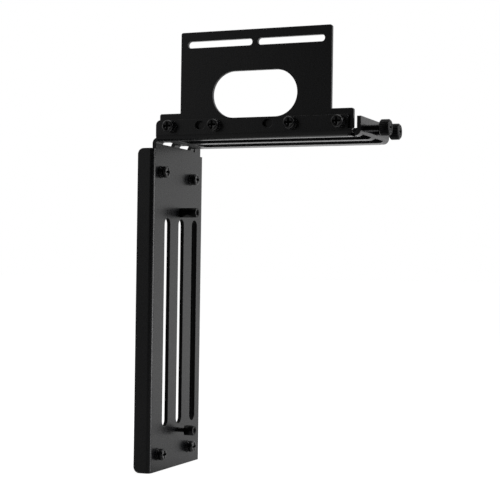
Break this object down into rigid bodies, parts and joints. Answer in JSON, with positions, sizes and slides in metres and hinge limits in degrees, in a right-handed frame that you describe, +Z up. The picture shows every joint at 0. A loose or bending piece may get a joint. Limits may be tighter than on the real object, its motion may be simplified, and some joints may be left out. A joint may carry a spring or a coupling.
{
  "type": "vertical graphics card mount",
  "caption": "Folded sheet bracket that holds a graphics card upright, with connector windows, thumb screws, riser standoffs and a bolted fixing plate.",
  "frame": {"origin": "midway between the two fixing slots, on the front face of the fixing plate", "axes": "+Z up along the web, +X from the web towards the thumb screws, +Y back from the fixing plate over the shelf"},
  "size_m": [0.1347, 0.0655, 0.2276],
  "materials": {
    "black_powder_coat": "satin black powder coat on steel",
    "black_zinc": "black zinc plate",
    "black_nickel": "black nickel plate",
    "black_anodised": "black oxide"
  },
  "bodies": {
    "mount": {"bracket": "black_powder_coat", "fixing_plate": "black_powder_coat", "upstand_screw_1": "black_zinc", "upstand_spring_washer_1": "black_zinc", "upstand_washer_1": "black_zinc", "upstand_screw_2": "black_zinc", "upstand_spring_washer_2": "black_zinc", "upstand_washer_2": "black_zinc", "upstand_screw_3": "black_zinc", "upstand_spring_washer_3": "black_zinc", "upstand_washer_3": "black_zinc", "upstand_screw_4": "black_zinc", "upstand_spring_washer_4": "black_zinc", "upstand_washer_4": "black_zinc", "web_screw_1": "black_zinc", "web_spring_washer_1": "black_zinc", "web_washer_1": "black_zinc", "web_screw_2": "black_zinc", "web_spring_washer_2": "black_zinc", "web_washer_2": "black_zinc", "web_screw_3": "black_zinc", "web_spring_washer_3": "black_zinc", "web_washer_3": "black_zinc", "web_screw_4": "black_zinc", "web_spring_washer_4": "black_zinc", "web_washer_4": "black_zinc", "standoff_1": "black_nickel", "standoff_2": "black_nickel"},
    "thumb_screw_1": {"thumb_screw_1": "black_anodised"},
    "thumb_screw_2": {"thumb_screw_2": "black_anodised"}
  },
  "joints": [
    {"name": "thumb_screw_1_slide", "type": "slide", "parent": "mount", "child": "thumb_screw_1", "axis": [-1, 0, 0], "range_m": [0, 0.008]},
    {"name": "thumb_screw_2_slide", "type": "slide", "parent": "mount", "child": "thumb_screw_2", "axis": [-1, 0, 0], "range_m": [0, 0.0069]}
  ]
}
